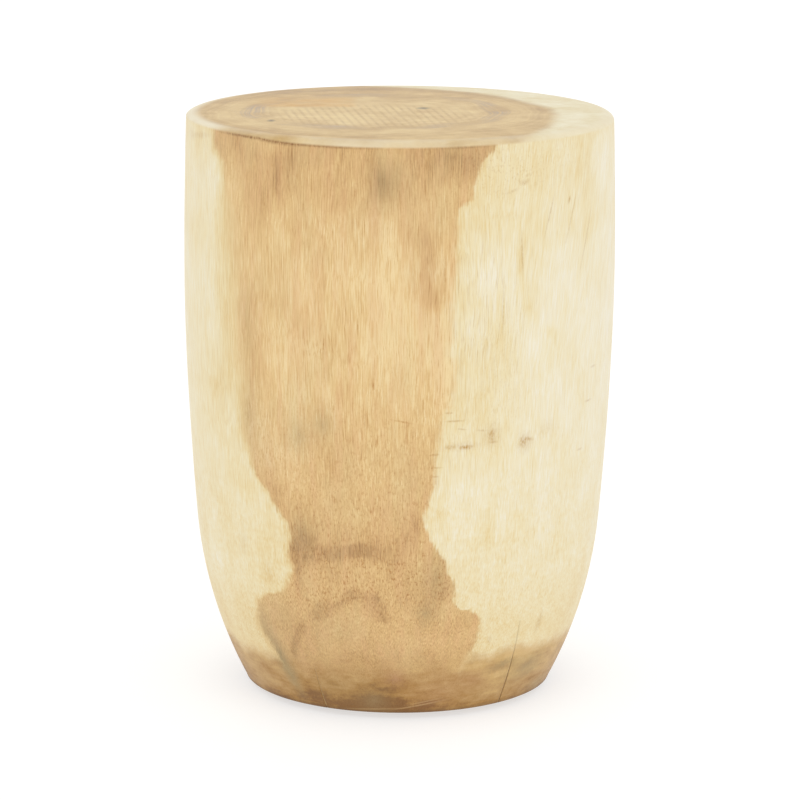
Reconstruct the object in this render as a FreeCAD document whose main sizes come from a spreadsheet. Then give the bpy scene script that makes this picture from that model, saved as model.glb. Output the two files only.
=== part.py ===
import FreeCAD, Part
import math
import os

import Sketcher
from FreeCAD import Placement, Rotation, Vector

# A round log stool: a trunk turned from one piece of timber, drying checks in its foot run full of filler,
# and four nail-on glides underneath. The origin is on the floor under the trunk's axis, +Z is up and -Y is
# the front. Lengths are in millimetres, angles in degrees about the axis from +X.
SIZES = {
    # Trunk: a long slightly swelling side above the shoulder, a flare down to the smaller foot below it
    "stool_height": 457,
    "top_radius": 166.1,
    "side_sweep_radius": 2420,
    "belly_height": 350,
    "shoulder_height": 138,
    "foot_inset": 45.9,
    "top_edge_round": 6.5,
    "base_edge_round": 2,
    # Bore along the pith, drilled up from below so that the log can dry without splitting
    "relief_bore_radius": 20,
    "relief_bore_depth": 300,
    # Drying checks: narrow radial splits that start at the end grain and run up the flare
    "check_width": 0.9,
    "check_foot_depth": 8,
    "check_head_depth": 1.5,
    "check_left_height": 35,
    "check_left_angle": -117.3,
    "check_right_height": 72,
    "check_right_angle": -49.6,
    "check_clearance": 0.05,
    "check_overrun": 2,
    # Glides: a moulded cup, a felt disc pressed into it from below and a nail through its middle
    "glide_inset": 28.2,
    "first_glide_angle": -45,
    "cup_radius": 13,
    "cup_height": 3.5,
    "cup_edge_round": 1.2,
    "felt_radius": 10,
    "felt_thickness": 3,
    "felt_seat_depth": 1.5,
    "felt_edge_round": 0.6,
    "felt_clearance": 0.1,
    "nail_radius": 1.3,
    "nail_head_radius": 4,
    "nail_head_thickness": 1.2,
    "nail_length": 20,
    "nail_point_length": 3,
    "nail_clearance": 0.1,
    "pilot_overrun": 1,
}

# The foot's radius, and that of the circle on which the glides stand
FOOT_RADIUS = "(Sizes.top_radius - Sizes.foot_inset)"
GLIDE_CIRCLE_RADIUS = f"({FOOT_RADIUS} - Sizes.glide_inset)"

# Heights above the floor that follow from the glides
FELT_STANDOUT = "(Sizes.felt_thickness - Sizes.felt_seat_depth)"
UNDERSIDE = f"({FELT_STANDOUT} + Sizes.cup_height)"
NAIL_SEAT = "(Sizes.felt_thickness + Sizes.nail_head_thickness)"

# Bores that take a glide's pieces with their clearances
NAIL_BORE = "(Sizes.nail_radius + Sizes.nail_clearance)"
HEAD_BORE = "(Sizes.nail_head_radius + Sizes.nail_clearance)"
FELT_BORE = "(Sizes.felt_radius + Sizes.felt_clearance)"

GLIDE_CORNERS = ("front_right", "rear_right", "rear_left", "front_left")
GLIDE_TURN = 360 / len(GLIDE_CORNERS)
CHECK_SIDES = ("left", "right")

UP = Vector(0, 0, 1)
# Two lengths this close are the same
ROUNDING = 1e-6

# The numbers that a sketch gives to the points of an element and to its own axes, which start at its origin
START, END, CENTRE = range(1, 4)
SKETCH_Y_AXIS, SKETCH_X_AXIS = range(-2, 0)

# The elements of the trunk's section, in the order in which they are drawn
BOTTOM_LINE, FLARE, SIDE, TOP_LINE, AXIS_LINE = range(5)


def fill_sheet(doc):
    sheet = doc.addObject("Spreadsheet::Sheet", "Sizes")
    for row, (name, value) in enumerate(SIZES.items(), start=1):
        sheet.set(f"A{row}", name)
        sheet.set(f"B{row}", str(value))
        sheet.setAlias(f"B{row}", name)
    doc.recompute()
    return sheet


def size(name):
    return float(sheet.get(name))


def sketch_on(body, name, role):
    plane = next(feature for feature in body.Origin.OriginFeatures if feature.Role == role)
    sketch = body.newObject("Sketcher::SketchObject", name)
    sketch.AttachmentSupport = [(plane, "")]
    sketch.MapMode = "FlatFace"
    return sketch


def hold(sketch, *constraint):
    return sketch.addConstraint(Sketcher.Constraint(*constraint))


def bind(sketch, expression, kind, *points):
    """Holds a size as it is drawn, then ties it to the sheet."""
    if kind == "Radius":
        drawn = sketch.Geometry[points[0]].Radius
    else:
        step = sketch.getPoint(*points[2:]) - sketch.getPoint(*points[:2])
        drawn = step.x if kind == "DistanceX" else step.y
    sketch.setExpression(f"Constraints[{hold(sketch, kind, *points, drawn)}]", expression)


def place_point(sketch, element, point, across, height):
    """Ties a point's two coordinates to expressions, and holds it on an axis where one is zero."""
    for kind, axis, expression in (
        ("DistanceX", SKETCH_Y_AXIS, across),
        ("DistanceY", SKETCH_X_AXIS, height),
    ):
        if expression == "0":
            hold(sketch, "PointOnObject", element, point, axis)
        else:
            bind(sketch, expression, kind, SKETCH_X_AXIS, START, element, point)


def draw_outline(sketch, count):
    """A closed outline of straight lines, still round and of no size, and the numbers of its lines."""
    spokes = [Rotation(UP, 360 * turn / count).multVec(Vector(1, 0, 0)) for turn in range(count)]
    ring = [Vector(1, 1, 0) + spoke for spoke in spokes]
    lines = [sketch.addGeometry(Part.LineSegment(ring[turn - 1], ring[turn]), False) for turn in range(count)]
    for turn in range(count):
        hold(sketch, "Coincident", lines[turn - 1], END, lines[turn], START)
    return lines


def draw_section(sketch, corners):
    """A closed outline through corners given as (across, height) expressions."""
    for line, (across, height) in zip(draw_outline(sketch, len(corners)), corners):
        place_point(sketch, line, START, across, height)


def revolve(body, sketch):
    turning = body.newObject("PartDesign::Revolution", f"{body.Name}_turning")
    turning.Profile = sketch
    turning.ReferenceAxis = (sketch, ["V_Axis"])
    turning.Angle = 360
    sketch.Document.recompute()
    return turning


def ease_rim(body, feature, corner, round_expression):
    """Rounds the rim that this corner of a turned feature's section leaves."""
    rims = [
        f"Edge{number}"
        for number, edge in enumerate(feature.Shape.Edges, start=1)
        if isinstance(edge.Curve, Part.Circle)
        and edge.Curve.Center.isEqual(Vector(0, 0, corner.y), ROUNDING)
        and math.isclose(edge.Curve.Radius, corner.x, abs_tol=ROUNDING)
    ]
    fillet = body.newObject("PartDesign::Fillet", f"{body.Name}_eased_rim")
    fillet.Base = (feature, rims)
    fillet.setExpression("Radius", round_expression)
    body.Document.recompute()
    return fillet


def drill_up(body, name, radius_expression, depth_expression, across_expression="0"):
    """A round hole drilled up from the underside, on the axis or out from it along the first glide's angle."""
    wood_before = body.Shape.Volume
    mouth = sketch_on(body, f"{name}_mouth", "XY_Plane")
    mouth.AttachmentOffset = Placement(Vector(), Rotation(UP, size("first_glide_angle")))
    mouth.setExpression("AttachmentOffset.Base.z", UNDERSIDE)
    mouth.addGeometry(Part.Circle(Vector(), UP, 1), False)
    bind(mouth, radius_expression, "Radius", 0)
    place_point(mouth, 0, CENTRE, across_expression, "0")
    hole = body.newObject("PartDesign::Pocket", name)
    hole.Profile = mouth
    hole.Reversed = True
    hole.setExpression("Length", depth_expression)
    body.Document.recompute()
    if not body.Shape.Volume < wood_before:
        raise RuntimeError(f"{name} takes no wood away")
    return mouth, hole


def draw_trunk_section(sketch, construction):
    """Half section of the trunk: underside, flare, swept side and top. Its two arcs run on at the shoulder."""
    underside = size("felt_thickness") - size("felt_seat_depth") + size("cup_height")
    top, belly, shoulder_height = size("stool_height"), size("belly_height"), size("shoulder_height")
    sweep = size("side_sweep_radius")
    rim = Vector(size("top_radius"), top, 0)
    foot = Vector(rim.x - size("foot_inset"), underside, 0)
    side_centre = Vector(rim.x - math.sqrt(sweep**2 - (top - belly) ** 2), belly, 0)
    shoulder_radius = side_centre.x + math.sqrt(sweep**2 - (shoulder_height - belly) ** 2)
    shoulder = Vector(shoulder_radius, shoulder_height, 0)
    inward = (side_centre - shoulder).normalize()
    chord = foot - shoulder
    flare_radius = chord.dot(chord) / (2 * chord.dot(inward))
    flare_centre = shoulder + inward * flare_radius

    def arc(centre, radius, start, end):
        angles = [math.atan2(point.y - centre.y, point.x - centre.x) for point in (start, end)]
        return Part.ArcOfCircle(Part.Circle(centre, UP, radius), *angles)

    for element in (
        Part.LineSegment(Vector(0, underside, 0), foot),
        arc(flare_centre, flare_radius, foot, shoulder),
        arc(side_centre, sweep, shoulder, rim),
        Part.LineSegment(rim, Vector(0, top, 0)),
        Part.LineSegment(Vector(0, top, 0), Vector(0, underside, 0)),
    ):
        sketch.addGeometry(element, construction)
    hold(sketch, "Coincident", BOTTOM_LINE, END, FLARE, START)
    hold(sketch, "Tangent", FLARE, END, SIDE, START)
    hold(sketch, "Coincident", SIDE, END, TOP_LINE, START)
    hold(sketch, "Coincident", TOP_LINE, END, AXIS_LINE, START)
    hold(sketch, "Coincident", AXIS_LINE, END, BOTTOM_LINE, START)
    hold(sketch, "Horizontal", BOTTOM_LINE)
    hold(sketch, "Horizontal", TOP_LINE)
    hold(sketch, "PointOnObject", BOTTOM_LINE, START, SKETCH_Y_AXIS)
    hold(sketch, "PointOnObject", AXIS_LINE, START, SKETCH_Y_AXIS)
    place_point(sketch, BOTTOM_LINE, END, FOOT_RADIUS, UNDERSIDE)
    place_point(sketch, TOP_LINE, START, "Sizes.top_radius", "Sizes.stool_height")
    bind(sketch, "Sizes.shoulder_height", "DistanceY", SKETCH_X_AXIS, START, FLARE, END)
    bind(sketch, "Sizes.belly_height", "DistanceY", SKETCH_X_AXIS, START, SIDE, CENTRE)
    bind(sketch, "Sizes.side_sweep_radius", "Radius", SIDE)
    return rim, foot


def turn_trunk(doc):
    """The log without its checks: turned, eased at both rims, bored along the pith and piloted for the nails."""
    body = doc.addObject("PartDesign::Body", "trunk")
    section = sketch_on(body, "trunk_section", "XZ_Plane")
    rim, foot = draw_trunk_section(section, False)
    turning = revolve(body, section)
    eased = ease_rim(body, turning, rim, "Sizes.top_edge_round")
    ease_rim(body, eased, foot, "Sizes.base_edge_round")
    drill_up(body, "relief_bore", "Sizes.relief_bore_radius", "Sizes.relief_bore_depth")
    pilot_depth = f"{NAIL_SEAT} + Sizes.nail_length - {UNDERSIDE} + Sizes.pilot_overrun"
    mouth, pilot = drill_up(body, "nail_pilot", NAIL_BORE, pilot_depth, GLIDE_CIRCLE_RADIUS)
    pilots = body.newObject("PartDesign::PolarPattern", "nail_pilots")
    pilots.Originals = [pilot]
    pilots.Axis = (mouth, ["N_Axis"])
    pilots.Angle = 360
    pilots.Occurrences = len(GLIDE_CORNERS)
    body.Tip = pilots
    return body


def check_plate(doc, name, side, clearance):
    """A thin radial plate as deep and high as one drying check, reaching out past the trunk's surface."""
    body = doc.addObject("PartDesign::Body", name)
    outline = sketch_on(body, f"{name}_outline", "XZ_Plane")
    draw_trunk_section(outline, True)
    foot_radius = f"{FOOT_RADIUS} - Sizes.check_foot_depth - {clearance}"
    foot_height = f"{UNDERSIDE} - Sizes.check_overrun"
    head_height = f"{UNDERSIDE} + Sizes.check_{side}_height + {clearance}"
    inner_foot, outer_foot, outer_head, inner_head = draw_outline(outline, 4)
    place_point(outline, inner_foot, START, foot_radius, foot_height)
    place_point(outline, outer_foot, START, "Sizes.top_radius", foot_height)
    place_point(outline, outer_head, START, "Sizes.top_radius", head_height)
    hold(outline, "Horizontal", outer_head)
    surface = outline.addGeometry(Part.Point(outline.getPoint(FLARE, END)), True)
    hold(outline, "PointOnObject", surface, START, FLARE)
    bind(outline, head_height, "DistanceY", SKETCH_X_AXIS, START, surface, START)
    head_depth = f"Sizes.check_head_depth + {clearance}"
    bind(outline, head_depth, "DistanceX", inner_head, START, surface, START)
    plate = body.newObject("PartDesign::Pad", f"{name}_plate")
    plate.Profile = outline
    plate.SideType = "Symmetric"
    plate.setExpression("Length", f"Sizes.check_width + 2 * {clearance}")
    body.Placement = Placement(Vector(), Rotation(UP, size(f"check_{side}_angle")))
    return body


def split_log(doc, trunk):
    """The log with its checks open."""
    slots = doc.addObject("Part::MultiFuse", "check_slots")
    clearance = "Sizes.check_clearance"
    slots.Shapes = [check_plate(doc, f"check_slot_{side}", side, clearance) for side in CHECK_SIDES]
    log = doc.addObject("Part::Cut", "log_body")
    log.Base = trunk
    log.Tool = slots
    return log


def fill_check(doc, trunk, side):
    """Filler in one check, flush with the trunk's surface."""
    filler = doc.addObject("Part::Common", f"check_filler_{side}")
    filler.Base = trunk
    filler.Tool = check_plate(doc, f"check_fill_{side}", side, "0")
    return filler


def glide_piece(doc, name, corner, corners):
    """A turned piece of one glide, drawn as (radius, height) corners and set on the glide circle."""
    body = doc.addObject("PartDesign::Body", f"{name}_{corner}")
    section = sketch_on(body, f"{name}_{corner}_section", "XZ_Plane")
    draw_section(section, corners)
    angle = f"Sizes.first_glide_angle + {GLIDE_TURN * GLIDE_CORNERS.index(corner)}"
    body.setExpression("Placement.Base.x", f"{GLIDE_CIRCLE_RADIUS} * cos({angle})")
    body.setExpression("Placement.Base.y", f"{GLIDE_CIRCLE_RADIUS} * sin({angle})")
    return body, revolve(body, section)


def mould_cup(doc, corner):
    body, turning = glide_piece(
        doc,
        "glide_cup",
        corner,
        [
            (NAIL_BORE, UNDERSIDE),
            (NAIL_BORE, NAIL_SEAT),
            (HEAD_BORE, NAIL_SEAT),
            (HEAD_BORE, "Sizes.felt_thickness"),
            (FELT_BORE, "Sizes.felt_thickness"),
            (FELT_BORE, FELT_STANDOUT),
            ("Sizes.cup_radius", FELT_STANDOUT),
            ("Sizes.cup_radius", UNDERSIDE),
        ],
    )
    rim = Vector(size("cup_radius"), size("felt_thickness") - size("felt_seat_depth"), 0)
    ease_rim(body, turning, rim, "Sizes.cup_edge_round")
    return body


def punch_felt(doc, corner):
    body, turning = glide_piece(
        doc,
        "glide_felt",
        corner,
        [
            ("0", "0"),
            ("Sizes.felt_radius", "0"),
            ("Sizes.felt_radius", "Sizes.felt_thickness"),
            ("0", "Sizes.felt_thickness"),
        ],
    )
    ease_rim(body, turning, Vector(size("felt_radius"), 0, 0), "Sizes.felt_edge_round")
    return body


def head_nail(doc, corner):
    body, _ = glide_piece(
        doc,
        "glide_nail",
        corner,
        [
            ("0", "Sizes.felt_thickness"),
            ("Sizes.nail_head_radius", "Sizes.felt_thickness"),
            ("Sizes.nail_head_radius", NAIL_SEAT),
            ("Sizes.nail_radius", NAIL_SEAT),
            ("Sizes.nail_radius", f"{NAIL_SEAT} + Sizes.nail_length - Sizes.nail_point_length"),
            ("0", f"{NAIL_SEAT} + Sizes.nail_length"),
        ],
    )
    return body


def check_document(doc, pieces):
    for item in doc.Objects:
        if {"Invalid", "Error"} & set(item.State):
            raise RuntimeError(f"{item.Name} failed to build")
    for piece in pieces:
        if piece.Shape.isNull() or not piece.Shape.isValid() or len(piece.Shape.Solids) != 1:
            raise RuntimeError(f"{piece.Label} is not one sound solid")


doc = FreeCAD.newDocument("stool_table")
sheet = fill_sheet(doc)
trunk = turn_trunk(doc)
pieces = [split_log(doc, trunk)]
pieces += [fill_check(doc, trunk, side) for side in CHECK_SIDES]
for corner in GLIDE_CORNERS:
    pieces += [mould_cup(doc, corner), punch_felt(doc, corner), head_nail(doc, corner)]
doc.recompute()
check_document(doc, pieces)
os.makedirs("parts", exist_ok=True)
for piece in pieces:
    piece.Shape.exportStep(os.path.join("parts", f"{piece.Label}.step"))
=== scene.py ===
"""Looks of a round log stool, in metres, +Z up: a turned two-tone hardwood trunk on four felt glides.

The trunk is one close mesh along its turned section, with hand-sanded unevenness, an eased top edge, saw
marks, two drying checks and the relief bore below. Its wood is worked out from each point's place in it.
"""

import math
from functools import partial

import bpy
import numpy as np
from mathutils import Euler, Matrix, Vector, noise


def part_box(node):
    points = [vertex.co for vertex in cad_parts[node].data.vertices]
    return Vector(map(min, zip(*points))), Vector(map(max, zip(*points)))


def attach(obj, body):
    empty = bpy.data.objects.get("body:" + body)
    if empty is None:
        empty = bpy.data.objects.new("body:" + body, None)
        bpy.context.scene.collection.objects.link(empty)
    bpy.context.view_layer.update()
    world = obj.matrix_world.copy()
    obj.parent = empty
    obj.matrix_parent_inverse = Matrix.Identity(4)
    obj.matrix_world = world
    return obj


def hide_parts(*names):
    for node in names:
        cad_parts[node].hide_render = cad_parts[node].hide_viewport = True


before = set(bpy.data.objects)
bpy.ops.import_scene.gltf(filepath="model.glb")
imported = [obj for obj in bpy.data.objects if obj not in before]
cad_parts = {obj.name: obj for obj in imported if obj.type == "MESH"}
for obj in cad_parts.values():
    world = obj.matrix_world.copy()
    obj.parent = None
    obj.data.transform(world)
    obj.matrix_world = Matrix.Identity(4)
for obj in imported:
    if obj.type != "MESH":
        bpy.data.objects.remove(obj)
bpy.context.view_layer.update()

MM = 0.001

# Turned section of the trunk
log_low, log_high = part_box("log_body")
stool_height = log_high.z
underside_height = log_low.z
top_radius = 166.1 * MM
side_sweep_radius = 2420 * MM
belly_height = 350 * MM
shoulder_height = 138 * MM
foot_radius = 120.2 * MM
top_fall = 1.3 * MM
top_fall_reach = 55 * MM
top_edge_drop = 4.8 * MM
top_edge_reach = 8 * MM
top_edge_arris = math.radians(9)
arris_height = stool_height - top_fall - top_edge_drop
# How much less the top edge was eased round the rim: angle in degrees from the front towards +X, and mm
top_edge_lift = [
    (-180, 0.8), (-110, 1.4), (-75, 2.5), (-47, 2.5), (-37, 1.7), (-26, 0.4), (0, 0), (25, 0.5),
    (60, 0.8), (180, 0.8)]
top_edge_lift_reach = 40 * MM
base_edge_round = 2 * MM
relief_bore_radius = 20 * MM
relief_bore_depth = 300 * MM
relief_bore_edge = 1 * MM

# Fineness of the trunk's mesh
trunk_columns = 384
top_rings = 90
edge_rows = 10
side_rows = 116
base_rows = 5
base_rings = 9
bore_rows = 9
under_arris = 0.3 * MM

# What the hand and the saw left on the turned surface. The saw marks' spacing and patch are in mm.
sanding_hollow_depth = 0.45 * MM
sanding_hollow_width = 70 * MM
sanding_hollow_length = 120 * MM
saw_mark_spacing = 6.2
saw_mark_lean = 0.15
saw_mark_depth = 0.1 * MM
saw_patch_middle = (-20, -38)
saw_patch_reach = (90, 78)
saw_patch_gain = 1.6

# Drying checks in the foot: angle in degrees from the front towards +X, height of the head, and lean in
# degrees for each mm of height. They narrow over a share of their height to a least width, and the columns
# of the mesh lean with them. Their lips and widths round the log are in degrees.
check_width = 0.9 * MM
check_groove_depth = 1.6 * MM
filler_recess = 0.2 * MM
filler_thickness = 1.1 * MM
drying_checks = {
    "left": {"angle": -27.3, "head": 40 * MM, "lean": -0.032},
    "right": {"angle": 40.4, "head": 77 * MM, "lean": -0.018},
}
check_middle = 22 * MM
check_taper_share = 0.7
check_least_share = 0.12
check_lip = (-0.6, -0.24, -0.16, 0.16, 0.24, 0.6)
check_lip_width = 0.3
check_groove_half = 0.2
check_clear_width = 1.0
check_hold = 3.6
check_fade = 6
check_plain_above = 20 * MM
check_lean_top = 200 * MM
filler_rows = 40
filler_edge_share = 0.4
filler_least_share = 0.05

# Felt disc and wire nail of a glide
felt_edge = 0.6 * MM
felt_mat_width = 1.8 * MM
felt_mat_depth = 0.12 * MM
felt_columns = 72
felt_rings = 11
felt_edge_rows = 5
nail_columns = 48
nail_bend_rows = 5
nail_shank_rows = 6
nail_shank_radius = 1.3 * MM
nail_head_thickness = 1.2 * MM
nail_head_edge = 0.4 * MM
nail_neck = 0.4 * MM
nail_point_length = 3 * MM
nail_tip_radius = 0.15 * MM

glide_corners = ("front_right", "rear_right", "rear_left", "front_left")

# Photographed view, from an image of 800 by 800 pixels
camera_place = (0.001, -2.9, 0.8443)
camera_pitch = math.radians(12.03)
camera_roll = math.radians(0.30)
image_width = 800
focal_pixels = 3752
sensor_width = 36

# White floor and surround, and the soft key
floor_reach = 40
surround_strength = 0.97
key_strength = 0.3
key_spread = math.radians(80)
key_heading = (-0.15, 1.0, -0.9)


def linear(colour):
    """Linear red, green, blue and alpha of an sRGB hex colour."""
    shares = [int(colour[i:i + 2], 16) / 255 for i in (1, 3, 5)]
    return [s / 12.92 if s <= 0.04045 else ((s + 0.055) / 1.055) ** 2.4 for s in shares] + [1]


def add(tree, kind, inputs, output=0, curve=(), stops=(), **settings):
    """Adds a node with its settings, links or sets its inputs, and gives back one of its outputs."""
    made = tree.nodes.new("ShaderNode" + kind)
    for name, value in settings.items():
        setattr(made, name, value)
    for name, value in inputs.items():
        if isinstance(value, bpy.types.NodeSocket):
            tree.links.new(value, made.inputs[name])
        else:
            made.inputs[name].default_value = value
    if curve:
        line = made.mapping.curves[0].points
        line[0].location, line[1].location = curve[0], curve[-1]
        for share, height in curve[1:-1]:
            line.new(share, height)
        made.mapping.update()
    if stops:
        ramp = made.color_ramp.elements
        for share, colour in stops[1:-1]:
            ramp.new(share)
        for step, (share, colour) in zip(ramp, stops):
            step.color = linear(colour)
    return made.outputs[output] if made.outputs else None


def new_material(name):
    """A material with an empty node tree, and the function that adds nodes to it."""
    material = bpy.data.materials.new(name)
    material.use_nodes = True
    material.node_tree.nodes.clear()
    return material, partial(add, material.node_tree)


# Sockets of the colour mix node
FACTOR, A, B, MIXED = 0, 6, 7, 2

# Edges of the heartwood on the side: height in mm and angle in degrees from the front towards +X
heart_left_edge = [
    (0, -36), (42, -41), (52, -43), (62, -45), (72, -46.5), (82, -45.5), (92, -43), (98, -40), (104, -35),
    (111, -32), (122, -30.6), (134, -30.8), (146, -30.3), (156, -30.6), (166, -33.5), (180, -37.5),
    (192, -40.5), (206, -42.5), (225, -45), (250, -45), (275, -46), (310, -48), (345, -47), (385, -48.5),
    (410, -50.5), (428, -53), (442, -57), (457, -58)]
heart_right_edge = [
    (0, 22), (54, 22.5), (66, 24), (76, 25), (84, 24.3), (90, 21.8), (95, 20), (98, 16.5), (103, 15.5),
    (112, 15.8), (122, 14.7), (134, 12.6), (145, 10), (156, 8.2), (170, 7), (184, 7.6), (196, 8.8),
    (208, 9.4), (224, 10.2), (238, 11), (250, 12.4), (264, 14), (282, 14.4), (305, 14.2), (345, 14.3),
    (385, 14.5), (400, 14.9), (406, 16), (412, 18.4), (424, 19.5), (434, 20.6), (444, 23), (457, 26)]
# Half the width over which heart and sapwood blend there: height in mm and degrees
left_edge_blend = [
    (0, 1.2), (80, 1.4), (100, 1.1), (195, 0.9), (240, 2.4), (300, 4.2), (385, 3.4), (420, 2), (457, 1.2)]
right_edge_blend = [
    (0, 2), (58, 1.7), (76, 0.9), (190, 0.9), (250, 1.9), (380, 1.7), (402, 0.8), (457, 0.8)]
# Edges of the heartwood at the back: height in mm and angle in degrees from the back towards -X
back_near_edge = [
    (0, 60), (150, 58), (175, 50), (196, 44.5), (232, 43), (262, 40), (292, 38.5), (318, 33), (352, 31.5),
    (384, 27), (412, 25), (436, 17), (457, 12)]
back_far_edge = [
    (0, 44), (150, 46), (175, 51), (190, 54), (215, 53.5), (246, 56.5), (280, 61), (306, 61.5), (334, 66),
    (362, 72), (392, 71.5), (418, 78), (440, 84), (457, 86)]
back_edge_blend = 2
# Top of the dark band round the foot: angle in degrees and height in mm
base_band_top = [
    (-180, 46), (-150, 41), (-110, 45), (-76, 45), (-56, 43), (-46, 45), (-41, 44), (-32, 44), (0, 46),
    (17, 47), (24, 50), (30, 51), (36, 54), (42, 55), (50, 53), (60, 51), (75, 51), (110, 46), (150, 50),
    (180, 46)]
# Edge of the heartwood on the top: angle in degrees and radius in mm
top_heart_edge = [
    (-180, 143), (-172, 152), (-160, 174), (28, 174), (38, 159), (47, 147), (59, 134.5), (69, 126),
    (80, 120), (97, 116), (106, 112.5), (120, 110), (131, 113), (147, 119), (159, 124), (169, 130),
    (180, 143)]

# Lean of the fibres high on the log: angle in degrees and turn in radians for each metre of height
fibre_lean = [(-180, 0), (5, 0), (45, -0.7), (85, -1.4), (110, -1.4), (170, 0), (180, 0)]
fibre_lean_start = 280
# Width and length of the pores and flecks in mm. Real pores are about 0.25 mm wide, and are drawn wider so
# that they show.
pore_size = (0.55, 24)
fleck_size = (1.3, 2.4)
# Heights in mm where the sapwood turns leathery, the foot darkens and its lowest edge darkens more: from
# and to
leather_heights = (230, 160)
foot_heights = (58, 2)
lowest_edge_heights = (9, 5.5)
# Tones run from 0, dark, to 1, light: by height in mm up the side, and by radius in mm round the pith
heart_tone_shares = [
    (0, 0.16), (20, 0.22), (36, 0.32), (52, 0.43), (70, 0.53), (95, 0.59), (125, 0.62), (150, 0.62),
    (180, 0.645), (215, 0.7), (255, 0.75), (300, 0.82), (350, 0.83), (390, 0.75), (415, 0.6), (435, 0.52),
    (457, 0.46)]
sap_tone_shares = [
    (0, 0.32), (45, 0.36), (75, 0.42), (110, 0.52), (170, 0.64), (250, 0.7), (330, 0.72), (400, 0.5),
    (432, 0.48), (457, 0.38)]
# Change of the sapwood's tone round the log: angle in degrees
sap_turn_shares = [
    (-180, -0.06), (-110, -0.12), (-40, -0.12), (0, -0.06), (40, 0), (110, 0), (180, -0.06)]
ring_tone_shares = [
    (0, 0.74), (60, 0.76), (84, 0.68), (93, 0.5), (103, 0.5), (113, 0.66), (122, 0.56), (138, 0.44),
    (155, 0.55), (200, 0.55)]
# How strongly short flecks show in the heart, by height in mm
fleck_shares = [
    (0, 0.06), (40, 0.12), (65, 0.26), (90, 0.34), (106, 0.56), (128, 0.58), (142, 0.42), (190, 0.34),
    (230, 0.22), (290, 0.08), (360, 0.06), (415, 0.14), (457, 0.16)]
# Soft clouds on the side: angle, height, half width and half length in mm, lean in degrees, and how much
# they change the tone or cover the colour
heart_clouds = [
    (-34, 434, 62, 44, 0, -0.12), (-51, 425, 22, 44, 0, 0.3), (-35, 449, 44, 14, 0, 0.34),
    (-37, 408, 30, 28, 0, -0.03), (-33, 422, 14, 40, 0, -0.12), (-29, 449, 60, 14, 0, -0.05),
    (13, 445, 60, 30, 0, -0.12), (17, 433, 22, 26, -15, -0.06), (-12, 448, 60, 24, 0, 0.08),
    (-4.5, 424, 22, 32, 0, -0.1), (7, 425, 14, 30, 0, -0.1), (6.6, 362, 28, 54, 4, -0.15),
    (9.5, 338, 22, 22, 0, -0.12), (-41, 335, 40, 80, 0, -0.12), (-43, 250, 26, 90, 0, 0.06),
    (-34.5, 183, 30, 30, 40, -0.12), (-27, 148, 30, 34, 0, -0.18), (-15, 145, 76, 28, 0, -0.18),
    (-7, 146, 40, 24, 0, -0.16), (2, 152, 30, 22, 25, -0.07), (5, 164, 18, 44, -4, -0.16),
    (-27.5, 120, 22, 52, -3, -0.22), (10.5, 121, 42, 52, 15, -0.05), (-42, 76, 40, 60, 0, -0.04),
    (-15, 74, 46, 36, 0, 0.22), (-14, 118, 54, 24, 0, 0.08), (6, 66, 60, 18, 0, 0.1),
    (16, 80, 40, 14, 0, -0.06), (-2, 330, 50, 130, 0, 0.16), (6, 335, 38, 100, 0, 0.14),
    (-17, 190, 44, 34, 0, 0.1),
    (11.5, 282, 22, 84, 0, 0.34), (13, 345, 10, 50, 0, 0.12), (12, 232, 16, 30, 0, 0.1),
    (6, 408, 28, 22, 0, 0.12), (-34, 222, 70, 70, 0, 0.25), (6, 235, 26, 40, 0, 0.12),
    (14, 97, 26, 18, 0, 0.14), (22, 72, 20, 24, 0, 0.12), (-26, 265, 30, 54, 0, 0.14),
    (15, 418, 32, 24, 0, 0.24), (-18, 400, 70, 28, 0, 0.14), (-2, 284, 40, 60, 0, 0.12),
    (-49, 392, 20, 46, 0, 0.14), (-40, 95, 22, 30, 0, 0.16), (-14, 272, 30, 40, 0, -0.08)]
# Stains in the sapwood, and pale clouds high on the far left and right that are painted highlights where
# the side turns away from view
sap_clouds_and_edge_highlights = [
    (-55, 418, 54, 66, 0, 0.3), (-70, 410, 80, 100, 0, 0.3), (-90, 405, 80, 100, 0, 0.2),
    (68, 425, 54, 66, 0, 0.24), (82, 410, 80, 100, 0, 0.26), (102, 420, 80, 100, 0, 0.2),
    (21, 255, 70, 110, 0, -0.38), (29, 300, 40, 50, 0, -0.2), (-56, 258, 50, 50, 0, -0.4),
    (-45, 180, 30, 24, 0, -0.3), (-39, 112, 20, 16, 0, -0.3), (-62, 112, 60, 60, 0, 0.35),
    (26, 147, 40, 30, 0, -0.2), (33, 362, 7, 46, 2, -0.34), (35.5, 325, 14, 12, -35, -0.28),
    (42, 306, 18, 10, -25, -0.22), (27.5, 305, 12, 60, 4, -0.2), (36, 290, 17, 36, -6, 0.15),
    (45, 368, 34, 50, 0, 0.15), (30, 424, 70, 26, 12, -0.06), (54, 420, 40, 24, 0, -0.05),
    (50, 70, 30, 16, 0, -0.25), (11, 170, 16, 24, 0, -0.25)]
olive_clouds = [
    (-4.5, 424, 24, 34, 0, 0.4), (-20, 241, 18, 30, 0, 0.45), (-27, 229, 22, 26, 0, 0.45),
    (-43, 240, 24, 90, 0, 0.35), (-43, 320, 24, 70, 0, 0.2), (-27, 157, 20, 26, 0, 0.5),
    (-40.5, 46, 16, 44, 20, 0.9), (-45, 70, 22, 40, 0, 0.35), (-38, 28, 14, 36, 24, 0.6),
    (-36, 80, 40, 60, 0, 0.25), (8, 93, 16, 16, 0, 0.5), (10.3, 120, 34, 44, 0, 0.35),
    (-17, 74, 46, 40, 0, 0.25), (37, 41, 34, 8, 5, 0.7), (48, 36, 44, 16, 9, 0.8),
    (52, 29, 36, 8, 9, 0.4), (62, 12, 40, 10, 0, 0.6), (-8, 17, 36, 26, 0, 0.5),
    (-22, 26, 60, 30, 0, 0.25)]
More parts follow.
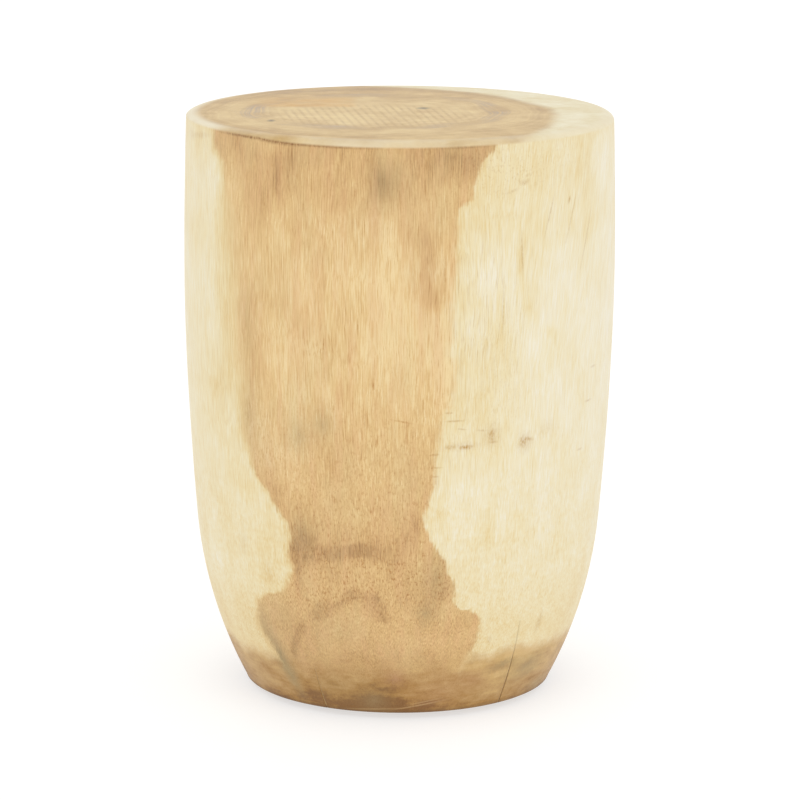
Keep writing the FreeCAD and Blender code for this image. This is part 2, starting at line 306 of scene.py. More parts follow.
rose_clouds = [
    (7, 358, 27, 62, 4, 0.28), (-37, 205, 26, 70, 0, 0.25), (-1, 37, 22, 14, 0, 0.6),
    (-8, 400, 70, 60, 0, 0.1), (14, 24, 60, 30, 0, 0.3), (26, 33, 34, 18, 0, 0.3)]
foot_clouds = [
    (-7, 16, 50, 30, 0, -0.22), (4, 9, 90, 14, 0, -0.2), (-28, 9, 60, 16, 0, -0.12),
    (25, 30, 50, 22, 0, -0.1), (37, 41, 32, 8, 5, -0.25), (48, 36, 44, 14, 9, -0.2),
    (-20, 40, 60, 20, 0, -0.1), (45, 9, 50, 12, 0, -0.2), (-42, 30, 60, 50, 0, 0.1),
    (34, 18, 40, 22, 0, 0.14), (64, 30, 60, 50, 0, 0.2), (44, 30, 150, 80, 0, 0.42),
    (30, 12, 60, 24, 0, 0.2), (-58, 38, 60, 40, 0, 0.25), (-58, 12, 60, 26, 0, 0.25),
    (-9, 9, 100, 18, 0, -0.4), (0, 36, 32, 18, 0, -0.3), (16, 12, 50, 16, 0, 0.2)]
# Tan blots in the heartwood, in the same order, with a weight
heart_blots = [
    (-22, 92, 19, 10, 25, 1.3), (-15.5, 102, 14, 6, 30, 0.9), (-11, 106, 18, 8, -8, 0.8),
    (-6, 98, 11, 18, 42, 1.2), (-2.6, 86, 5, 10, 10, 0.5), (-31.5, 67, 7, 25, -32, 1),
    (-35, 52, 5, 12, -10, 0.6), (-24.5, 73, 14, 20, 0, 0.4), (-10, 70, 6, 26, 0, 0.4),
    (0, 55, 4, 16, 0, 0.4), (10.5, 118, 20, 28, 12, 0.45), (-27, 140, 22, 20, 0, 0.9),
    (-17, 140, 34, 9, 5, 0.9), (-9, 143, 28, 9, -3, 0.9), (-28.7, 116, 6, 26, -3, 0.7),
    (-33.5, 181, 14, 14, 40, 0.4), (6.6, 377, 17, 18, 0, 0.55), (6.3, 354, 15, 28, 0, 0.34),
    (9.5, 338, 14, 16, 0, 0.55), (17, 434, 12, 14, -15, 0.3), (14, 444, 26, 7, -8, 0.35),
    (-33, 422, 6, 18, 0, 0.8), (-4.5, 423, 17, 20, 0, 0.7), (5, 165, 8, 22, -3, 0.35)]
# Where the pores stand open, in the same order
open_grain_clouds = [
    (-18, 290, 30, 60, 0, 0.4), (-9, 232, 44, 46, 0, 0.4), (24, 335, 56, 96, 0, 0.34),
    (-22, 410, 26, 54, 0, 0.3), (4, 402, 34, 60, 0, 0.3), (9, 300, 24, 46, 0, 0.3),
    (-12, 165, 60, 30, 0, 0.25)]
# Where the sapwood is stippled too, in the same order
fleck_clouds = [
    (25, 441, 44, 24, 0, 0.2), (37, 430, 50, 26, 0, 0.16), (24, 418, 44, 26, 0, 0.14),
    (52, 430, 50, 30, 0, 0.1), (28, 300, 40, 50, 0, 0.12), (27, 250, 40, 40, 0, 0.14),
    (-60, 430, 40, 40, 0, 0.08)]
# Small brown marks on heart and sapwood, in the same order, with a strength
brown_marks = [
    (1, 245, 11, 1, -11, 0.5), (13, 251, 4, 1.1, 0, 0.5), (14.5, 244.6, 10, 1.1, 0, 0.45),
    (16.5, 238, 5, 1, -8, 0.4), (13.3, 224.6, 5, 2, 0, 0.5), (17.9, 223.8, 7, 2.2, 0, 0.7),
    (17, 224.5, 18, 5, 0, 0.25), (9.3, 219, 5, 1.2, 5, 0.6), (10, 209, 6, 1, 0, 0.4),
    (9.6, 202, 5, 1, 0, 0.4), (25, 232, 3.2, 6, 0, 0.4), (25, 231, 11, 13, 0, 0.28),
    (25.6, 226, 5, 1.4, -6, 0.35), (22, 236, 5, 1.2, -6, 0.35), (34.6, 224, 4, 6, 0, 0.4),
    (36.6, 225, 6, 2.4, -10, 0.3), (35.3, 223, 10, 11, 0, 0.32), (43, 231, 16, 9, 0, 0.12),
    (47.8, 73, 5, 12, -6, 0.3), (29, 66, 3, 5, 0, 0.25), (-48, 136, 9, 12, 0, 0.14),
    (-39, 118, 7, 12, 0, 0.12), (49.4, 404, 1.8, 4, -20, 0.6), (33.6, 422, 6, 3, 10, 0.4),
    (34.6, 427, 3, 1.6, 30, 0.3), (30, 416, 8, 1.6, 16, 0.25), (33, 368, 1.4, 22, 3, 0.4),
    (42, 395, 1.2, 22, -18, 0.35), (50, 388, 1.2, 26, -19, 0.35), (57, 370, 1.2, 34, -20, 0.35),
    (27.5, 330, 1.4, 28, 0, 0.3), (11.6, 352, 1, 24, 0, 0.4), (-31.3, 215, 1.2, 50, 0, 0.3),
    (63, 270, 7, 1.4, 0, 0.3), (61, 244, 8, 1.4, 0, 0.35), (58, 207, 6, 1.4, 0, 0.35),
    (-1, 65, 1, 4, 0, 0.5), (-37, 404, 1.2, 7, 0, 0.4), (-19.5, 300, 1.2, 12, 0, 0.5),
    (-10.5, 317, 1.2, 10, 0, 0.4), (-6.5, 272, 1.8, 4, 0, 0.4), (-66, 446, 20, 3.4, 6, 0.26),
    (-73, 444, 12, 6, 0, 0.2)]
# Pale scratches low on the foot, in the same order
pale_scratches = [(-8, 8.4, 44, 1.1, 2.5, 0.5), (9, 12.6, 40, 1.1, 8, 0.7), (10, 15.4, 26, 1, 9, 0.6)]
# Dark line under the eased edge, in the same order, with heights from that edge
arris_marks = [
    (-46, -0.4, 34, 2, 0, 0.7), (-34, -0.6, 40, 2.6, 0, 0.8), (-18, -0.3, 44, 2, 0, 0.6),
    (17, -0.1, 30, 2, 0, 0.5)]
# On the top, in mm: the pith, the spacing of the rings, the greyed ring, the blend at the heart's edge, the
# darker line inside it and the pale rim, which is sanded and partly a painted highlight on the eased edge
pith_place = (-21, -10, 0)
ring_spacing = 5
grey_ring_radius = 97
grey_ring_reach = (13, 2)
top_heart_blend = (-8, 6)
heart_line_reach = (24, 6)
rim_radii = (153, 163)
# Pin knots in the top: place, half width and half length in mm
pin_knots = [(18, 10, 7, 9), (-98, -65, 4, 8), (104, 56, 2, 5)]
# How pale the rim of the top is, from sanding and from a painted highlight where the eased edge catches the
# light, strongest on the left: angle in degrees and share
rim_sanding_and_highlight_shares = [
    (-180, 0.5), (-120, 0.85), (-75, 1), (-60, 0.84), (-52, 0.4), (-44, 0.18), (-34, 0.14), (-26, 0.3),
    (-12, 0.52), (4, 0.5), (16, 0.34), (30, 0.42), (60, 0.55), (120, 0.5), (180, 0.5)]


def log_places(put):
    """Place on the log in mm and degrees, as the sockets that its wood is drawn from."""
    own = put("TexCoord", {}, "Object")
    place = put("VectorMath", {0: own, "Scale": 1 / MM}, operation="SCALE")
    x = put("SeparateXYZ", {0: place}, "X")
    y = put("SeparateXYZ", {0: place}, "Y")
    height = put("SeparateXYZ", {0: place}, "Z")
    front = put("Math", {0: y, 1: -1}, operation="MULTIPLY")
    turn = put("Math", {0: x, 1: front}, operation="ARCTAN2")
    angle = put("Math", {0: turn}, operation="DEGREES")
    left = put("Math", {0: x, 1: -1}, operation="MULTIPLY")
    back_turn = put("Math", {0: left, 1: y}, operation="ARCTAN2")
    back_angle = put("Math", {0: back_turn}, operation="DEGREES")
    flat = put("VectorMath", {0: place, 1: (1, 1, 0)}, operation="MULTIPLY")
    radius = put("VectorMath", {0: flat}, "Value", operation="LENGTH")
    return {"place": place, "x": x, "y": y, "height": height, "angle": angle, "back_angle": back_angle,
            "radius": radius, "flat": flat}


def figure(put, place, across, along, low, high, detail=3):
    """Figure of the wood: noise drawn out along the grain to a width and length in mm, from low to high."""
    drawn = put("VectorMath", {0: place, 1: (1 / across, 1 / across, 1 / along)}, operation="MULTIPLY")
    value = put("TexNoise", {"Vector": drawn, "Scale": 1, "Detail": detail, "Roughness": 0.55}, "Fac")
    return put("MapRange", {"Value": value, "From Min": 0.25, "From Max": 0.75,
                            "To Min": low, "To Max": high})


def streaked(put, place, tone, rows):
    """A tone with figures of the wood added: their width and length in mm, and the most they change it."""
    for across, along, change in rows:
        by = figure(put, place, across, along, -change, change)
        tone = put("Math", {0: tone, 1: by}, operation="ADD")
    return tone


def read_off(put, value, table, low, high):
    """Value of a table of (place, value) at a place, on a smooth line between the limits low and high."""
    start, end = table[0][0], table[-1][0]
    share = put("MapRange", {"Value": value, "From Min": start, "From Max": end})
    line = put("FloatCurve", {"Value": share},
               curve=[((p - start) / (end - start), (v - low) / (high - low)) for p, v in table])
    return put("MapRange", {"Value": line, "To Min": low, "To Max": high})


def laid_flat(put, angle, height):
    """Place on the side laid out flat, in mm, of an angle and a height."""
    half_girth = math.pi * log_high.x / MM
    across = put("MapRange", {"Value": angle, "From Min": -180, "From Max": 180,
                              "To Min": -half_girth, "To Max": half_girth})
    return put("CombineXYZ", {"X": across, "Y": height})


def add_grain(put, log):
    """Adds to the log's places the run of its fibres, and where its colours wander to."""
    # The fibres lean over to the right on the right of the log and drift a little up its length
    lean = read_off(put, log["angle"], fibre_lean, -3, 0)
    rise = put("MapRange", {"Value": log["height"], "From Min": fibre_lean_start,
                            "From Max": stool_height / MM, "To Max": stool_height - fibre_lean_start * MM})
    twist = put("Math", {0: rise, 1: lean}, operation="MULTIPLY")
    leaned = put("VectorRotate", {"Vector": log["place"], "Angle": twist}, rotation_type="Z_AXIS")
    drift = put("TexNoise", {"Vector": log["place"], "Scale": 1 / 40, "Detail": 2}, "Color")
    drift = put("VectorMath", {0: drift, 1: (0.5, 0.5, 0.5)}, operation="SUBTRACT")
    grain = put("VectorMath", {0: drift, 1: (3, 3, 0), 2: leaned}, operation="MULTIPLY_ADD")

    # Colour edges wander over a few centimetres and are feathered by single fibres
    wander = put("TexNoise", {"Vector": log["place"], "Scale": 1 / 26, "Detail": 5, "Roughness": 0.6},
                 "Color")
    wander_across = put("SeparateColor", {0: wander}, "Red")
    wander_along = put("SeparateColor", {0: wander}, "Green")
    feather = figure(put, grain, 1.4, 24, -0.8, 0.8, 2)
    wander_by = put("MapRange", {"Value": wander_across, "To Min": -3, "To Max": 3})
    shift = put("Math", {0: wander_by, 1: feather}, operation="ADD")
    rise_by = put("MapRange", {"Value": wander_along, "To Min": -12, "To Max": 12})
    height = put("Math", {0: log["height"], 1: rise_by}, operation="ADD")
    angle = put("Math", {0: log["angle"], 1: shift}, operation="ADD")
    spot_angle = put("Math", {0: shift, 1: 0.6, 2: log["angle"]}, operation="MULTIPLY_ADD")
    spot_height = put("Math", {0: rise_by, 1: 0.5, 2: log["height"]}, operation="MULTIPLY_ADD")
    spot_height = put("Math", {0: feather, 1: 3, 2: spot_height}, operation="MULTIPLY_ADD")
    log.update({
        "grain": grain, "wander": wander, "feather": feather, "shift": shift, "wandered_angle": angle,
        "wandered_height": height, "wandered_spot": laid_flat(put, spot_angle, spot_height),
        "spot": laid_flat(put, log["angle"], log["height"])})


def clouds(put, spot, table, kind):
    """Sum of soft patches at the places of a table, on the log laid out flat in mm."""
    total = 0.0
    for angle, height, half_width, half_length, lean, strength in table:
        where = put("Mapping", {"Vector": spot,
                                "Location": (math.radians(angle) * log_high.x / MM, height, 0),
                                "Rotation": (0, 0, math.radians(lean)),
                                "Scale": (half_width, half_length, 1)}, vector_type="TEXTURE")
        patch = put("TexGradient", {"Vector": where}, "Fac", gradient_type=kind)
        total = put("Math", {0: patch, 1: strength, 2: total}, operation="MULTIPLY_ADD")
    return total


def heart_depth(put, log):
    """How far a point of the side lies inside the heartwood, in widths of the blend at its edge."""
    left_edge = read_off(put, log["wandered_height"], heart_left_edge, -90, 0)
    right_edge = read_off(put, log["wandered_height"], heart_right_edge, 0, 90)
    back_near = read_off(put, log["wandered_height"], back_near_edge, 0, 90)
    back_far = read_off(put, log["wandered_height"], back_far_edge, 0, 90)
    in_left = put("Math", {0: log["wandered_angle"], 1: left_edge}, operation="SUBTRACT")
    in_right = put("Math", {0: right_edge, 1: log["wandered_angle"]}, operation="SUBTRACT")
    off_back = put("Math", {0: log["back_angle"], 1: log["shift"]}, operation="ADD")
    in_near = put("Math", {0: off_back, 1: back_near}, operation="SUBTRACT")
    in_far = put("Math", {0: back_far, 1: off_back}, operation="SUBTRACT")
    in_back = put("Math", {0: in_near, 1: in_far}, operation="MINIMUM")
    left_blend = read_off(put, log["height"], left_edge_blend, 0, 5)
    right_blend = read_off(put, log["height"], right_edge_blend, 0, 5)
    in_left = put("Math", {0: in_left, 1: left_blend}, operation="DIVIDE")
    in_right = put("Math", {0: in_right, 1: right_blend}, operation="DIVIDE")
    in_back = put("Math", {0: in_back, 1: back_edge_blend}, operation="DIVIDE")
    in_front = put("Math", {0: in_left, 1: in_right}, operation="MINIMUM")
    return put("Math", {0: in_front, 1: in_back}, operation="MAXIMUM")


def sapwood(put, log, depth):
    """Colour of the sapwood: even cream, a little deeper at top and foot, amber towards the heart, with
    painted highlights high on its far flanks.
    """
    tone = read_off(put, log["height"], sap_tone_shares, 0, 1)
    leather_low = put("MapRange", {"Value": log["height"], "From Min": leather_heights[0],
                                   "From Max": leather_heights[1], "To Max": 0.35})
    leather = figure(put, log["place"], 7, 4, -0.3, 0.3)
    tone = put("Math", {0: leather, 1: leather_low, 2: tone}, operation="MULTIPLY_ADD")
    tone = streaked(put, log["grain"], tone, ((24, 40, 0.15), (3.5, 90, 0.1), (0.6, 18, 0.31)))
    amber = put("MapRange", {"Value": depth, "From Min": -2.8, "From Max": 0.5},
                interpolation_type="SMOOTHSTEP")
    amber_left = put("MapRange", {"Value": log["angle"], "From Min": -30, "From Max": 10,
                                  "To Min": -0.45, "To Max": -0.16})
    tone = put("Math", {0: amber, 1: amber_left, 2: tone}, operation="MULTIPLY_ADD")
    round_log = read_off(put, log["angle"], sap_turn_shares, -0.2, 0)
    tone = put("Math", {0: tone, 1: round_log}, operation="ADD")
    # Stains, and painted highlights high on the far flanks
    patches = clouds(put, log["wandered_spot"], sap_clouds_and_edge_highlights, "QUADRATIC_SPHERE")
    tone = put("Math", {0: tone, 1: patches}, operation="ADD")
    return put("ValToRGB", {0: tone}, stops=[
        (0, "#DBBF88"), (0.25, "#E1CB97"), (0.5, "#E6D7AD"), (0.75, "#E9DFC1"), (1, "#ECE6D5")])


def heartwood(put, log):
    """Colour of the heartwood: honey tan, deeper to top and foot, softly clouded and finely streaked."""
    tone = read_off(put, log["height"], heart_tone_shares, 0, 1)
    tone = streaked(put, log["grain"], tone, (
        (24, 44, 0.16), (5, 90, 0.06), (1.5, 34, 0.05), (0.6, 16, 0.31)))
    patches = clouds(put, log["wandered_spot"], heart_clouds, "QUADRATIC_SPHERE")
    tone = put("Math", {0: tone, 1: patches}, operation="ADD")
    blots = clouds(put, log["wandered_spot"], heart_blots, "SPHERICAL")
    blots = put("MapRange", {"Value": blots, "From Max": 0.75, "To Max": -0.24},
                interpolation_type="SMOOTHSTEP")
    tone = put("Math", {0: tone, 1: blots}, operation="ADD")
    colour = put("ValToRGB", {0: tone}, stops=[
        (0, "#977145"), (0.2, "#B18A57"), (0.4, "#C59E68"), (0.6, "#D4AF76"), (0.8, "#DFBE84"),
        (1, "#E9D09D")])
    for across, along, most, tint in ((30, 60, 0.45, "#D2B985"), (7, 70, 0.5, "#DBAF7E")):
        cover = figure(put, log["grain"], across, along, -0.3, most)
        cover = put("Math", {0: cover, 1: 0}, operation="MAXIMUM")
        colour = put("Mix", {FACTOR: cover, A: colour, B: linear(tint)}, MIXED, data_type="RGBA")
    return colour


def foot_band(put, log, heart):
    """Colour and cover of the brown band round the foot: soft under the heart, lathe-lined below."""
    top = read_off(put, log["angle"], base_band_top, 0, 100)
    blend = put("MapRange", {"Value": heart, "To Min": 7, "To Max": 19})
    under = put("Math", {0: top, 1: log["wandered_height"]}, operation="SUBTRACT")
    under = put("Math", {0: under, 1: blend}, operation="DIVIDE")
    band = put("MapRange", {"Value": under, "From Min": -1, "From Max": 1}, interpolation_type="SMOOTHSTEP")
    tone = put("MapRange", {"Value": log["height"], "From Min": foot_heights[1],
                            "From Max": foot_heights[0], "To Min": 0.01, "To Max": 0.81})
    tone = streaked(put, log["place"], tone, ((34, 2.6, 0.1), (26, 13, 0.28), (9, 5, 0.14), (2, 2, 0.08)))
    patches = clouds(put, log["wandered_spot"], foot_clouds, "QUADRATIC_SPHERE")
    tone = put("Math", {0: tone, 1: patches}, operation="ADD")
    brown = put("ValToRGB", {0: tone}, stops=[
        (0, "#80551B"), (0.3, "#A67B39"), (0.6, "#B89259"), (0.85, "#C7A366"), (1, "#CFAD73")])
    # The lowest few mm of the foot are darker still
    height_tint = put("MapRange", {"Value": log["height"], "From Min": lowest_edge_heights[0],
                              "From Max": lowest_edge_heights[1], "To Max": 0.55})
    brown = put("Mix", {FACTOR: height_tint, A: brown, B: linear("#6B502E")}, MIXED, data_type="RGBA")
    scratches = clouds(put, log["spot"], pale_scratches, "SPHERICAL")
    brown = put("Mix", {FACTOR: scratches, A: brown, B: linear("#C4A06C")}, MIXED, data_type="RGBA")
    return brown, band


def two_tone_hardwood():
    """Turned, sanded and clear-sealed light tropical hardwood.

    Pale cream sapwood flanks a honey-tan heart, with fine pores along the grain, cloudy tan and olive
    stains, a brown band round the foot and duller end grain on top. The seal gives a soft satin sheen.
    """
    material, put = new_material("two_tone_hardwood")
    log = log_places(put)
    add_grain(put, log)
    depth = heart_depth(put, log)
    heart = put("MapRange", {"Value": depth, "From Min": -1, "From Max": 1},
                interpolation_type="SMOOTHSTEP")
    brown, band = foot_band(put, log, heart)
    tan = put("Mix", {FACTOR: band, A: heartwood(put, log), B: brown}, MIXED, data_type="RGBA")
    for table, stain in ((olive_clouds, "#A08A5E"), (rose_clouds, "#BC9069")):
        cover = clouds(put, log["wandered_spot"], table, "QUADRATIC_SPHERE")
        tan = put("Mix", {FACTOR: cover, A: tan, B: linear(stain)}, MIXED, data_type="RGBA")
    stained = put("Math", {0: heart, 1: band}, operation="MAXIMUM")
    side = put("Mix", {FACTOR: stained, A: sapwood(put, log, depth), B: tan}, MIXED, data_type="RGBA")

    # Open pores along the grain, closer in some places than in others, and short flecks towards the foot
    pores = figure(put, log["grain"], *pore_size, -1, 1, 2)
    pores = put("MapRange", {"Value": pores, "From Min": -0.1, "From Max": 0.8})
    crowd = figure(put, log["place"], 30, 40, 0.35, 1, 2)
    pore_tone = put("MapRange", {"Value": depth, "From Min": -9, "From Max": 0,
                                 "To Min": 0.14, "To Max": 0.32})
    pore_cover = put("Math", {0: pores, 1: pore_tone}, operation="MULTIPLY")
    pore_cover = put("Math", {0: pore_cover, 1: crowd}, operation="MULTIPLY")
    flecks = figure(put, log["grain"], *fleck_size, -1, 1, 2)
    fleck_cover = read_off(put, log["height"], fleck_shares, 0, 1)
    flecks = put("MapRange", {"Value": flecks, "From Min": 0.1, "From Max": 0.8})
    fleck_spots = clouds(put, log["wandered_spot"], fleck_clouds, "SPHERICAL")
    fleck_cover = put("Math", {0: fleck_cover, 1: heart, 2: fleck_spots}, operation="MULTIPLY_ADD")
    flecks = put("Math", {0: flecks, 1: fleck_cover}, operation="MULTIPLY")
    deep = put("MapRange", {"Value": pores, "From Min": 0.6, "From Max": 1})
    open_grain = clouds(put, log["spot"], open_grain_clouds, "SPHERICAL")
    open_grain = put("Math", {0: heart, 1: 0.16, 2: open_grain}, operation="MULTIPLY_ADD")
    deep = put("Math", {0: deep, 1: open_grain}, operation="MULTIPLY")
    broken = figure(put, log["place"], 1.3, 2.6, 0.1, 1.7)
    marks = clouds(put, log["spot"], brown_marks, "SPHERICAL")
    marks = put("Math", {0: marks, 1: broken}, operation="MULTIPLY")
    stains = pore_cover
    for more in (flecks, deep, marks):
        stains = put("Math", {0: stains, 1: more}, operation="ADD")
    side = put("Mix", {FACTOR: stains, A: side, B: linear("#C69C50")}, MIXED,
               data_type="RGBA", blend_type="MULTIPLY")
    lift = read_off(put, log["angle"], top_edge_lift, 0, 3)
    above_arris = put("Math", {0: log["height"], 1: lift}, operation="SUBTRACT")
    above_arris = put("Math", {0: above_arris, 1: arris_height / MM}, operation="SUBTRACT")
    arris = clouds(put, laid_flat(put, log["angle"], above_arris), arris_marks, "SPHERICAL")
    arris = put("Math", {0: arris, 1: broken}, operation="MULTIPLY")
    side = put("Mix", {FACTOR: arris, A: side, B: linear("#A0855C")}, MIXED,
               data_type="RGBA", blend_type="MULTIPLY")

    top = end_grain(put, log)
    on_top = put("MapRange", {"Value": above_arris, "From Min": -0.7, "From Max": 0.9})
    colour = put("Mix", {FACTOR: on_top, A: side, B: top}, MIXED, data_type="RGBA")

    sheen = put("MapRange", {"Value": pores, "To Min": 0.42, "To Max": 0.56})
    relief = put("Math", {0: pores, 1: -1}, operation="MULTIPLY")
    relief = put("Math", {0: log["feather"], 1: 0.4, 2: relief}, operation="MULTIPLY_ADD")
    bump = put("Bump", {"Height": relief, "Strength": 0.3, "Distance": 0.1 * MM})
    shader = put("BsdfPrincipled", {"Base Color": colour, "Roughness": sheen, "IOR": 1.5, "Normal": bump})
    put("OutputMaterial", {"Surface": shader})
    return material


def end_grain(put, log):
    """Colour of the trunk's top: dull tan end grain with greyed rings, saw marks and a pale rim, sanded and
    partly painted highlight.
    """
    x, y, radius = log["x"], log["y"], log["radius"]
    wander_out = put("SeparateColor", {0: log["wander"]}, "Blue")
    wander_out = put("MapRange", {"Value": wander_out, "To Min": -5, "To Max": 5})
    edge_radius = read_off(put, log["angle"], top_heart_edge, 0, 200)
    inside = put("Math", {0: edge_radius, 1: radius}, operation="SUBTRACT")
    inside = put("Math", {0: inside, 1: wander_out}, operation="ADD")
    heart = put("MapRange", {"Value": inside, "From Min": top_heart_blend[0],
                             "From Max": top_heart_blend[1]}, interpolation_type="SMOOTHSTEP")

    # Growth rings round the pith, some of them greyed in places
    off_pith = put("VectorMath", {0: log["flat"], 1: pith_place}, operation="SUBTRACT")
    ring = put("VectorMath", {0: off_pith}, "Value", operation="LENGTH")
    slow = figure(put, log["place"], 70, 70, -9, 9, 1)
    ring = put("Math", {0: ring, 1: slow}, operation="ADD")
    ring = put("Math", {0: wander_out, 1: 0.2, 2: ring}, operation="MULTIPLY_ADD")
    tone = read_off(put, ring, ring_tone_shares, 0, 1)
    ring_count = put("Math", {0: ring, 1: 1 / ring_spacing}, operation="MULTIPLY")
    ring_line = put("TexNoise", {"W": ring_count, "Scale": 1, "Detail": 3, "Roughness": 0.6}, "Fac",
                    noise_dimensions="1D")
    ring_by = put("MapRange", {"Value": ring_line, "From Min": 0.25, "From Max": 0.75,
                               "To Min": -0.12, "To Max": 0.12})
    outer = put("MapRange", {"Value": ring, "From Min": 60, "From Max": 88, "To Min": 0.35})
    tone = put("Math", {0: ring_by, 1: outer, 2: tone}, operation="MULTIPLY_ADD")
    tone = streaked(put, log["place"], tone, ((34, 34, 0.26), (13, 13, 0.13)))
    far = put("MapRange", {"Value": y, "From Min": 0, "From Max": 130, "To Max": -0.25})
    tone = put("Math", {0: tone, 1: far}, operation="ADD")
    tone = put("Math", {0: tone, 1: figure(put, log["place"], 1.4, 1.4, -0.08, 0.08, 2)}, operation="ADD")
    tan = put("ValToRGB", {0: tone}, stops=[
        (0, "#AE8B5C"), (0.35, "#C4A269"), (0.65, "#D5B67C"), (1, "#E4C98F")])
    grey_ring = put("Math", {0: ring, 1: grey_ring_radius}, operation="SUBTRACT")
    grey_ring = put("Math", {0: grey_ring}, operation="ABSOLUTE")
    grey_ring = put("MapRange", {"Value": grey_ring, "From Min": grey_ring_reach[0],
                                 "From Max": grey_ring_reach[1]})
    grey_patch = figure(put, log["place"], 44, 44, -0.5, 1.1, 2)
    grey_ring = put("Math", {0: grey_ring, 1: grey_patch}, operation="MULTIPLY", use_clamp=True)
    grey_line = put("MapRange", {"Value": ring_line, "From Min": 0.62, "From Max": 0.42,
                                 "To Min": 0.05, "To Max": 0.95})
    grey_ring = put("Math", {0: grey_ring, 1: grey_line}, operation="MULTIPLY")
    tan = put("Mix", {FACTOR: grey_ring, A: tan, B: linear("#A8968A")}, MIXED, data_type="RGBA")

    # Orange-tan quarter at the back left, with a straight edge on its right: where in mm each of its four
    # sides starts and where it is full
    orange = figure(put, log["place"], 24, 24, 0.15, 0.75)
    for across, start, full, blend in ((x, -33, -39, "LINEAR"), (y, 8, 24, "SMOOTHSTEP"),
                                       (y, 100, 30, "SMOOTHSTEP"), (x, -130, -85, "SMOOTHSTEP")):
        share = put("MapRange", {"Value": across, "From Min": start, "From Max": full},
                    interpolation_type=blend)
        orange = put("Math", {0: orange, 1: share}, operation="MULTIPLY")
    tan = put("Mix", {FACTOR: orange, A: tan, B: linear("#D49C3C")}, MIXED, data_type="RGBA")

    # Saw marks across the middle
    saw = put("Math", {0: y, 1: saw_mark_lean, 2: x}, operation="MULTIPLY_ADD")
    saw = put("Math", {0: saw, 1: 2 * math.pi / saw_mark_spacing}, operation="MULTIPLY")
    saw = put("Math", {0: saw}, operation="SINE")
    saw = put("MapRange", {"Value": saw, "From Min": -0.2, "From Max": 0.95})
    patch = put("Mapping", {"Vector": log["flat"], "Location": (*saw_patch_middle, 0),
                            "Scale": (*saw_patch_reach, 1)}, vector_type="TEXTURE")
    patch = put("TexGradient", {"Vector": patch}, "Fac", gradient_type="SPHERICAL")
    patch = put("MapRange", {"Value": patch, "From Max": 0.3, "To Max": 0.55})
    worn = figure(put, log["place"], 9, 9, 0, 1)
    for share in (patch, worn):
        saw = put("Math", {0: saw, 1: share}, operation="MULTIPLY")
    tan = put("Mix", {FACTOR: saw, A: tan, B: linear("#AE8952")}, MIXED, data_type="RGBA")

    # Pin knots
    for knot_x, knot_y, knot_width, knot_length in pin_knots:
        knot = put("Mapping", {"Vector": log["flat"], "Location": (knot_x, knot_y, 0),
                               "Scale": (knot_width, knot_length, 1)}, vector_type="TEXTURE")
        knot = put("TexGradient", {"Vector": knot}, "Fac", gradient_type="SPHERICAL")
        tan = put("Mix", {FACTOR: knot, A: tan, B: linear("#75664E")}, MIXED, data_type="RGBA")

    # Darker line just inside the heart's edge, then the sapwood and the pale rim, sanded and partly a
    # painted highlight
    outline = put("MapRange", {"Value": inside, "From Min": heart_line_reach[0],
                               "From Max": heart_line_reach[1], "To Max": 0.16})
    tan = put("Mix", {FACTOR: outline, A: tan, B: linear("#B99C70")}, MIXED, data_type="RGBA")
    sap_tone = streaked(put, log["place"], 0.5, ((30, 30, 0.5), (8, 8, 0.3), (1.4, 1.4, 0.15)))
    sap = put("Mix", {FACTOR: sap_tone, A: linear("#DDCC9C"), B: linear("#EBE2C3")}, MIXED,
              data_type="RGBA")
    top = put("Mix", {FACTOR: heart, A: sap, B: tan}, MIXED, data_type="RGBA")
    # The pale rim's colour is partly a painted highlight where the eased edge catches the light, and partly
    # sanding
    rim_unevenness = figure(put, log["place"], 20, 20, -0.2, 0.2)
    sanding_and_highlight = read_off(put, log["angle"], rim_sanding_and_highlight_shares, 0, 1)
    sanding_and_highlight = put("Math", {0: sanding_and_highlight, 1: rim_unevenness}, operation="ADD", use_clamp=True)
    rim = put("MapRange", {"Value": radius, "From Min": rim_radii[0], "From Max": rim_radii[1]},
              interpolation_type="SMOOTHSTEP")
    rim = put("Math", {0: rim, 1: sanding_and_highlight}, operation="MULTIPLY")
    return put("Mix", {FACTOR: rim, A: top, B: linear("#E8DCBE")}, MIXED, data_type="RGBA")


def brown_wood_filler():
    """Brown two-part wood filler, scraped flush: dull, with a fine grit of wood dust in it.

    It is darker on the right of the log, and rubbed pale above the brown band. The grit is about 0.3 mm,
    and is drawn 0.8 mm wide so that it shows.
    """
    material, put = new_material("brown_wood_filler")
    own = put("TexCoord", {}, "Object")
    grit = put("TexNoise", {"Vector": own, "Scale": 1 / (0.8 * MM), "Detail": 3}, "Fac")
    tone = put("MapRange", {"Value": grit, "From Min": 0.3, "From Max": 0.7})
    across = put("SeparateXYZ", {0: own}, "X")
    right = put("MapRange", {"Value": across, "From Min": -50 * MM, "From Max": 50 * MM})
    dark = put("Mix", {FACTOR: right, A: linear("#A07C4A"), B: linear("#7E5E38")}, MIXED, data_type="RGBA")
    light = put("Mix", {FACTOR: right, A: linear("#C0A06C"), B: linear("#94713F")}, MIXED, data_type="RGBA")
    colour = put("Mix", {FACTOR: tone, A: dark, B: light}, MIXED, data_type="RGBA")
    height = put("SeparateXYZ", {0: own}, "Z")
    height_tint = put("MapRange", {"Value": height, "From Min": 46 * MM, "From Max": 58 * MM, "To Max": 0.7})
    colour = put("Mix", {FACTOR: height_tint, A: colour, B: linear("#D9C392")}, MIXED, data_type="RGBA")
    dull = put("MapRange", {"Value": grit, "To Min": 0.65, "To Max": 0.85})
    bump = put("Bump", {"Height": grit, "Strength": 0.4, "Distance": 0.1 * MM})
    shader = put("BsdfPrincipled", {"Base Color": colour, "Roughness": dull, "IOR": 1.5, "Normal": bump})
    put("OutputMaterial", {"Surface": shader})
    return material


